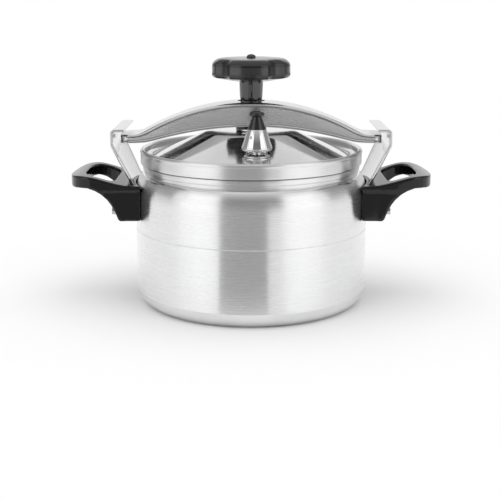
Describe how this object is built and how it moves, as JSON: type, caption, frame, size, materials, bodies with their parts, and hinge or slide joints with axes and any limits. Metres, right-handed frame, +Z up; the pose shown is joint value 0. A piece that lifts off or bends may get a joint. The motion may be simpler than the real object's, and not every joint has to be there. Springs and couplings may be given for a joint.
{
  "type": "pressure cooker",
  "caption": "Stovetop pressure cooker: brushed aluminium pot with loop handles, conical polished lid, weight valve, and an arched clamp bar held under side hooks by a star knob.",
  "frame": {"origin": "centre of the pot's base, on the surface that it stands on", "axes": "+Z up along the pot's axis; X runs through the two side handles; the working valve is at the front, -Y"},
  "size_m": [0.391, 0.25, 0.2662],
  "materials": {
    "brushed_aluminium": "fine circumferential brush, polished shoulder and base chamfer",
    "polished_aluminium": "mirror polished",
    "polished_steel": "polished pressed steel",
    "stainless": "polished stainless strap",
    "chrome": "bright chrome",
    "zinc_steel": "zinc plated, satin",
    "aluminium_rivet": "satin",
    "brass": "turned brass",
    "bakelite": "black moulded phenolic, semi-gloss",
    "red_plastic": "red signal pin",
    "black_rubber": "matte"
  },
  "bodies": {
    "pot": {"pot_body": "brushed_aluminium", "handle_left": "bakelite", "handle_right": "bakelite", "hook_left": "stainless", "hook_right": "stainless", "hook_rivets": "aluminium_rivet", "handle_bolts": "zinc_steel", "handle_nuts": "zinc_steel"},
    "lid": {"lid": "polished_aluminium", "lid_gasket": "black_rubber", "vent_pipe": "chrome", "vent_washer": "black_rubber", "vent_nut": "zinc_steel", "safety_body": "brass", "safety_washer": "black_rubber", "safety_nut": "brass", "safety_cap": "brass", "safety_spring": "zinc_steel"},
    "regulator": {"regulator_weight": "chrome", "regulator_cap": "bakelite", "regulator_pin": "zinc_steel"},
    "safety_pin": {"safety_plunger": "red_plastic"},
    "foot": {"clamp_foot": "zinc_steel"},
    "screw": {"clamp_screw": "zinc_steel", "foot_circlip": "zinc_steel", "knob": "bakelite", "knob_insert": "brass", "knob_cap": "bakelite"},
    "bar": {"clamp_bar": "polished_steel", "bar_bush": "zinc_steel"}
  },
  "joints": [
    {"name": "lid_turn", "type": "hinge", "parent": "pot", "child": "lid", "pos_m": [0, 0, 0.15], "axis": [0, 0, 1], "continuous": true},
    {"name": "regulator_lift", "type": "slide", "parent": "lid", "child": "regulator", "axis": [0, 0, 1], "range_m": [0, 0.012]},
    {"name": "safety_lift", "type": "slide", "parent": "lid", "child": "safety_pin", "axis": [0, 0, 1], "range_m": [0, 0.002], "stiffness_N_per_m": 2000, "springref_m": -0.004, "deforming": ["safety_spring"]},
    {"name": "bar_swing", "type": "hinge", "parent": "lid", "child": "foot", "pos_m": [0, 0, 0.186], "axis": [0, 0, 1], "range_deg": [-50, 50]},
    {"name": "knob_turn", "type": "hinge", "parent": "foot", "child": "screw", "pos_m": [0, 0, 0.2], "axis": [0, 0, -1], "range_deg": [-180, 360]},
    {"name": "bar_raise", "type": "slide", "parent": "foot", "child": "bar", "axis": [0, 0, 1], "range_m": [-0.0015, 0.003]}
  ],
  "couplings": [
    {"joint": "knob_turn", "follows": "bar_raise", "rad_per_m": 2094.4}
  ]
}
